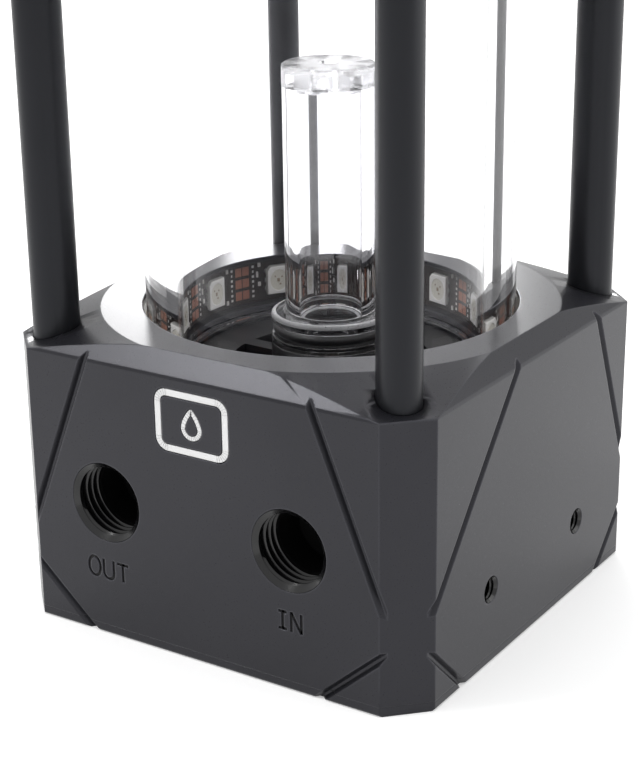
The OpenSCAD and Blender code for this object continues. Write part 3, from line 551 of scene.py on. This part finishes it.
PAD_INNER, PAD_OUTER, PAD_PITCH, PAD_HALF, PAD_THICK = 0.12, 1.75, 2.15, 0.78, 0.05
MARK_X, MARK_FOOT, MARK_PITCH, MARK_HALF, MARK_THICK = 2.75, -2.7, 0.9, 0.22, 0.03
MARK_WIDE, MARK_NARROW, MARK_COUNT = 0.55, 0.3, 7
TINY_X, TINY_HALF_W, TINY_HALF_H, TINY_THICK = 4.2, 0.3, 0.35, 0.35
TINY_PARTS = ((-1, 2.9), (1, 2.9), (1, -2.8), (-1, -0.6))


def build_strip_print():
    """Copper cutting pads, tiny parts and printed marks between the lamps."""
    pads, marks = [], []
    for i in range(LAMP_COUNT - 1):
        mid = LAMP_START + (i + 0.5) * LAMP_STEP
        for row in (-1, 0, 1):
            z = row * PAD_PITCH
            for x0, x1 in ((-PAD_OUTER, -PAD_INNER), (PAD_INNER, PAD_OUTER)):
                pads.append(patch(mid, x0, x1, z - PAD_HALF, z + PAD_HALF, PAD_THICK))
        # printed marks in short columns left and right of the pads
        for s in (-1, 1):
            for k in range(MARK_COUNT):
                z = MARK_FOOT + k * MARK_PITCH
                half = (MARK_WIDE if (k + i) % 3 else MARK_NARROW) / 2
                x = s * MARK_X
                marks.append(patch(mid, x - half, x + half, z - MARK_HALF, z + MARK_HALF, MARK_THICK, 1))
        for s, z in TINY_PARTS:
            x = s * TINY_X
            marks.append(patch(mid, x - TINY_HALF_W, x + TINY_HALF_W, z - TINY_HALF_H, z + TINY_HALF_H,
                               TINY_THICK, 1))
        marks.append(patch(mid, -3.9, -3.5, 0.7, 1.7, 0.4, 1))
    piece("strip_pads", *join(pads), "strip_film", pad_copper, sharp=60)
    piece("strip_marks", *join(marks), "strip_film", print_white, sharp=60)


# ------------------------------------------------------------------ threads, letters and badge

def build_threads():
    """Threads in the mouths of the holes, darkened with painted shade, and near-black liners that paint the shade of
    the plain bores behind those of the ports.
    """
    threads, liners = [], []
    for x in PORT_XS:
        place = Matrix.Translation((x, -HALF, PORT_Z)) @ Matrix.Rotation(radians(90), 4, "X")
        threads.append(thread(PORT_ROOT, PORT_CREST, PORT_PITCH, THREAD_LEN, place))
        # near-black liner: painted shade in the bore behind the thread
        wall = [(PORT_CREST, -THREAD_LEN), (PORT_ROOT, -THREAD_LEN), (PORT_ROOT, -PORT_DEPTH),
                (0.01, -PORT_DEPTH), (0.01, LINER - PORT_DEPTH), (PORT_CREST, LINER - PORT_DEPTH)]
        liners.append(lathe(wall, 72, place))
    piece("port_threads", *join(threads), "black_block", threads_painted_shade, sharp=25)
    piece("port_bores", *join(liners), "black_block", bore_painted_shade, sharp=25)
    threads = []
    for s in (-1, 1):
        place = Matrix.Translation((HALF, s * SIDE_HOLE_Y, SIDE_HOLE_Z)) @ Matrix.Rotation(radians(90), 4, "Y")
        threads.append(thread(SIDE_ROOT, SIDE_CREST, SIDE_PITCH, SIDE_LEN, place, 40, 0.45))
    piece("side_threads", *join(threads), "black_block", threads_painted_shade, sharp=25)


def stroke(points, width, closed=False):
    """Flat band along a line in the XZ plane, as a list of quads."""
    pts = [Vector(p) for p in points]
    n = len(pts)
    left, right = [], []
    for k in range(n):
        if closed:
            a, b = pts[k - 1], pts[(k + 1) % n]
        else:
            a, b = pts[max(k - 1, 0)], pts[min(k + 1, n - 1)]
        d1 = (pts[k] - a).normalized() if (pts[k] - a).length > 1e-9 else (b - pts[k]).normalized()
        d2 = (b - pts[k]).normalized() if (b - pts[k]).length > 1e-9 else d1
        t = (d1 + d2).normalized()
        across = Vector((-t.y, t.x))
        reach = width / 2 / max(0.35, across.dot(Vector((-d1.y, d1.x))))
        left.append(pts[k] + across * reach); right.append(pts[k] - across * reach)
    m = n if closed else n - 1
    return [(left[k], right[k], right[(k + 1) % n], left[(k + 1) % n]) for k in range(m)]


def band_solid(quads, y_out, y_in):
    """Quads in the XZ plane given thickness along Y."""
    verts, faces = [], []
    for q in quads:
        k = len(verts)
        verts += [(p.x, y_out, p.y) for p in q] + [(p.x, y_in, p.y) for p in q]
        faces += [(k, k + 1, k + 2, k + 3), (k + 7, k + 6, k + 5, k + 4)]
        faces += [(k + j, k + 4 + j, k + 4 + (j + 1) % 4, k + (j + 1) % 4) for j in range(4)]
    return verts, faces


LETTER_H, LETTER_LINE, LETTER_Z = 3.3, 0.5, 9.85
LETTER_XS = {"O": -21.9, "U": -18.9, "T": -16.2, "I": 14.6, "N": 16.7}
O_HALF, U_HALF, T_WIDE, I_WIDE, N_LEFT, N_RIGHT = 1.15, 1.0, 2.3, 1.5, 0.2, 2.0


def letter_lines():
    """Each letter as lines of (points, closed), from its own lower left corner."""
    h, bar = LETTER_H, LETTER_LINE / 2
    oval = [(O_HALF + O_HALF * cos(2 * pi * k / 24), h / 2 + h / 2 * sin(2 * pi * k / 24)) for k in range(24)]
    bowl = [(U_HALF - U_HALF * cos(pi * k / 10), U_HALF - U_HALF * sin(pi * k / 10)) for k in range(1, 10)]
    return {
        "O": [(oval, True)],
        "U": [([(0, h), (0, U_HALF)] + bowl + [(2 * U_HALF, U_HALF), (2 * U_HALF, h)], False)],
        "T": [([(0, h - bar), (T_WIDE, h - bar)], False), ([(T_WIDE / 2, h), (T_WIDE / 2, 0)], False)],
        "I": [([(I_WIDE / 2, 0), (I_WIDE / 2, h)], False), ([(0, h - bar), (I_WIDE, h - bar)], False),
              ([(0, bar), (I_WIDE, bar)], False)],
        "N": [([(N_LEFT, 0), (N_LEFT, h)], False), ([(N_LEFT, h), (N_RIGHT, 0)], False),
              ([(N_RIGHT, 0), (N_RIGHT, h)], False)],
    }


def letters():
    """The words OUT and IN as quads."""
    quads = []
    for letter, lines in letter_lines().items():
        for points, closed in lines:
            placed = [(LETTER_XS[letter] + x, LETTER_Z + z) for x, z in points]
            quads += stroke(placed, LETTER_LINE, closed)
    return quads


def engrave(name, quads):
    """Cuts quads of the front face into the base block."""
    me = bpy.data.meshes.new(name)
    bm = bmesh.new()
    for q in quads:
        front, back = ([bm.verts.new((p.x * MM, y * MM, p.y * MM)) for p in q]
                       for y in (-HALF - 0.5, -HALF + ENGRAVED))
        bm.faces.new(front); bm.faces.new(back[::-1])
        for k in range(len(q)):
            m = (k + 1) % len(q)
            bm.faces.new((front[k], back[k], back[m], front[m]))
    bmesh.ops.recalc_face_normals(bm, faces=bm.faces)
    bm.to_mesh(me); bm.free()
    cutter = bpy.data.objects.new(name, me)
    bpy.context.scene.collection.objects.link(cutter)
    cutter.hide_render = True
    cut = nodes["base_block"].modifiers.new(name, "BOOLEAN")
    cut.object, cut.operation, cut.solver = cutter, "DIFFERENCE", "EXACT"
    cut.use_self = True


def build_letters():
    quads = letters()
    engrave("letters_cutter", quads)
    # a near-black sheet at the bottom of the cut paints the shade in the letters
    v, f = band_solid(quads, -HALF + ENGRAVED - 0.1, -HALF + ENGRAVED - 0.01)
    piece("port_letters", v, f, "black_block", letters_painted_shade, sharp=30)


BADGE_X, BADGE_Z, BADGE_HALF_W, BADGE_HALF_H, BADGE_CORNER = -0.45, 39.45, 6.2, 4.45, 1.6
DROP_R, DROP_DOWN, DROP_STRETCH = 1.55, 0.6, 1.75
FRAME_LINE, DROP_LINE, BADGE_PROUD, BADGE_GAP = 1.05, 0.7, 0.03, (0.3, 0.25)


def badge_lines():
    """A plain rounded frame with a drop in it, as closed lines on the front face."""
    frame_line = []
    for qx, qz, start in ((1, -1, -90), (1, 1, 0), (-1, 1, 90), (-1, -1, 180)):
        for k in range(7):
            a = radians(start + k * 15)
            frame_line.append((BADGE_X + qx * (BADGE_HALF_W - BADGE_CORNER) + BADGE_CORNER * cos(a),
                               BADGE_Z + qz * (BADGE_HALF_H - BADGE_CORNER) + BADGE_CORNER * sin(a)))
    drop = []
    for k in range(28):
        a = 2 * pi * k / 28
        x, z = DROP_R * sin(a), -DROP_R * cos(a)
        if z > 0:
            x *= (1 - z / DROP_R) ** 0.35 if z < DROP_R else 0
            z *= DROP_STRETCH
        drop.append((BADGE_X + x, BADGE_Z - DROP_DOWN + z))
    return frame_line, drop


def build_badge():
    frame_line, drop = badge_lines()
    frame_gap, drop_gap = BADGE_GAP
    engrave("badge_cutter", stroke(frame_line, FRAME_LINE + frame_gap, True)
            + stroke(drop, DROP_LINE + drop_gap, True))
    v, f = band_solid(stroke(frame_line, FRAME_LINE, True) + stroke(drop, DROP_LINE, True),
                      -HALF + BADGE_PROUD, -HALF + ENGRAVED - 0.01)
    piece("badge", v, f, "lamp_white", badge_white, sharp=30)


# ------------------------------------------------------------------ floor, light and world

FLOOR_HALF, FLOOR_DROP = 3.0, 0.00005        # metres
FLOOR_WHITE, FLOOR_GLOW = 0.86, 0.30
WORLD_LIGHT, WORLD_SEEN = 0.53, 0.88


def seen_rays(tree):
    """1 for what the eye, glossy and clear pieces see, 0 for rays that light a surface."""
    rays = tree.nodes.new("ShaderNodeLightPath")
    seen = rays.outputs["Is Camera Ray"]
    for name in ("Is Glossy Ray", "Is Transmission Ray"):
        either = tree.nodes.new("ShaderNodeMath"); either.operation = "MAXIMUM"
        tree.links.new(seen, either.inputs[0]); tree.links.new(rays.outputs[name], either.inputs[1])
        seen = either.outputs[0]
    return seen


def build_floor():
    bm = bmesh.new()
    bmesh.ops.create_grid(bm, x_segments=8, y_segments=8, size=FLOOR_HALF)
    me = bpy.data.meshes.new("floor")
    bm.to_mesh(me); bm.free()
    ob = bpy.data.objects.new("floor", me)
    ob.location.z = -FLOOR_DROP
    bpy.context.scene.collection.objects.link(ob)
    me.materials.append(floor_white())


def floor_white():
    """White floor that catches the shadow; its glow where it is seen joins it to the white behind."""
    mat = bpy.data.materials.new("floor_white")
    mat.use_nodes = True
    nt = mat.node_tree; ln = nt.links.new
    nt.nodes.remove(nt.nodes["Principled BSDF"])
    matt = nt.nodes.new("ShaderNodeBsdfDiffuse")
    matt.inputs["Color"].default_value = rgb(FLOOR_WHITE, FLOOR_WHITE, FLOOR_WHITE)
    glow = nt.nodes.new("ShaderNodeEmission")
    amount = nt.nodes.new("ShaderNodeMath"); amount.operation = "MULTIPLY"
    amount.inputs[1].default_value = FLOOR_GLOW
    add = nt.nodes.new("ShaderNodeAddShader")
    ln(seen_rays(nt), amount.inputs[0]); ln(amount.outputs[0], glow.inputs["Strength"])
    ln(matt.outputs[0], add.inputs[0]); ln(glow.outputs[0], add.inputs[1])
    ln(add.outputs[0], nt.nodes["Material Output"].inputs["Surface"])
    return mat


def build_world():
    """One pale studio: everything that sees it sees the same white, and it lights surfaces more softly."""
    world = bpy.data.worlds.new("studio")
    bpy.context.scene.world = world
    world.use_nodes = True
    nt = world.node_tree
    background = nt.nodes["Background"]
    background.inputs["Color"].default_value = rgb(1, 1, 1)
    level = map_range(nt, seen_rays(nt), 0, 1, WORLD_LIGHT, WORLD_SEEN)
    nt.links.new(level, background.inputs["Strength"])


# name: (azimuth from the port face in degrees, height, distance, (width, height) in metres, power in watts)
SOFTBOXES = {
    "box_back": (215, 0.228, 1.1, (0.34, 0.317), 4.0),
    "box_back_high": (212, 0.97, 1.1, (1.16, 0.34), 5.5),
    "box_right": (118, 0.40, 0.9, (0.9, 0.9), 3.6),
    "box_left": (312, 0.72, 0.66, (0.19, 0.16), 2.8),
    "box_top": (20, 1.1, 0.15, (0.8, 0.8), 5.0),
}
LIT_POINT = (0, 0, 0.05)


def softbox(name, azimuth, height, distance, size, power):
    light = bpy.data.lights.new(name, "AREA")
    light.shape, light.size, light.size_y = "RECTANGLE", size[0], size[1]
    light.energy = power
    ob = bpy.data.objects.new(name, light)
    a = radians(azimuth)
    ob.location = (distance * sin(a), -distance * cos(a), height)
    ob.rotation_euler = (Vector(LIT_POINT) - ob.location).to_track_quat("-Z", "Y").to_euler()
    bpy.context.scene.collection.objects.link(ob)
    ob.visible_camera = False
    ob.visible_transmission = False


def light_scene():
    for name, values in SOFTBOXES.items():
        softbox(name, *values)


dress_solids()
build_clear_tube()
build_riser()
build_lamps()
build_strip_print()
build_threads()
build_letters()
build_badge()
build_floor()
build_world()
light_scene()
place_camera()
bpy.context.scene.view_settings.view_transform = "Standard"
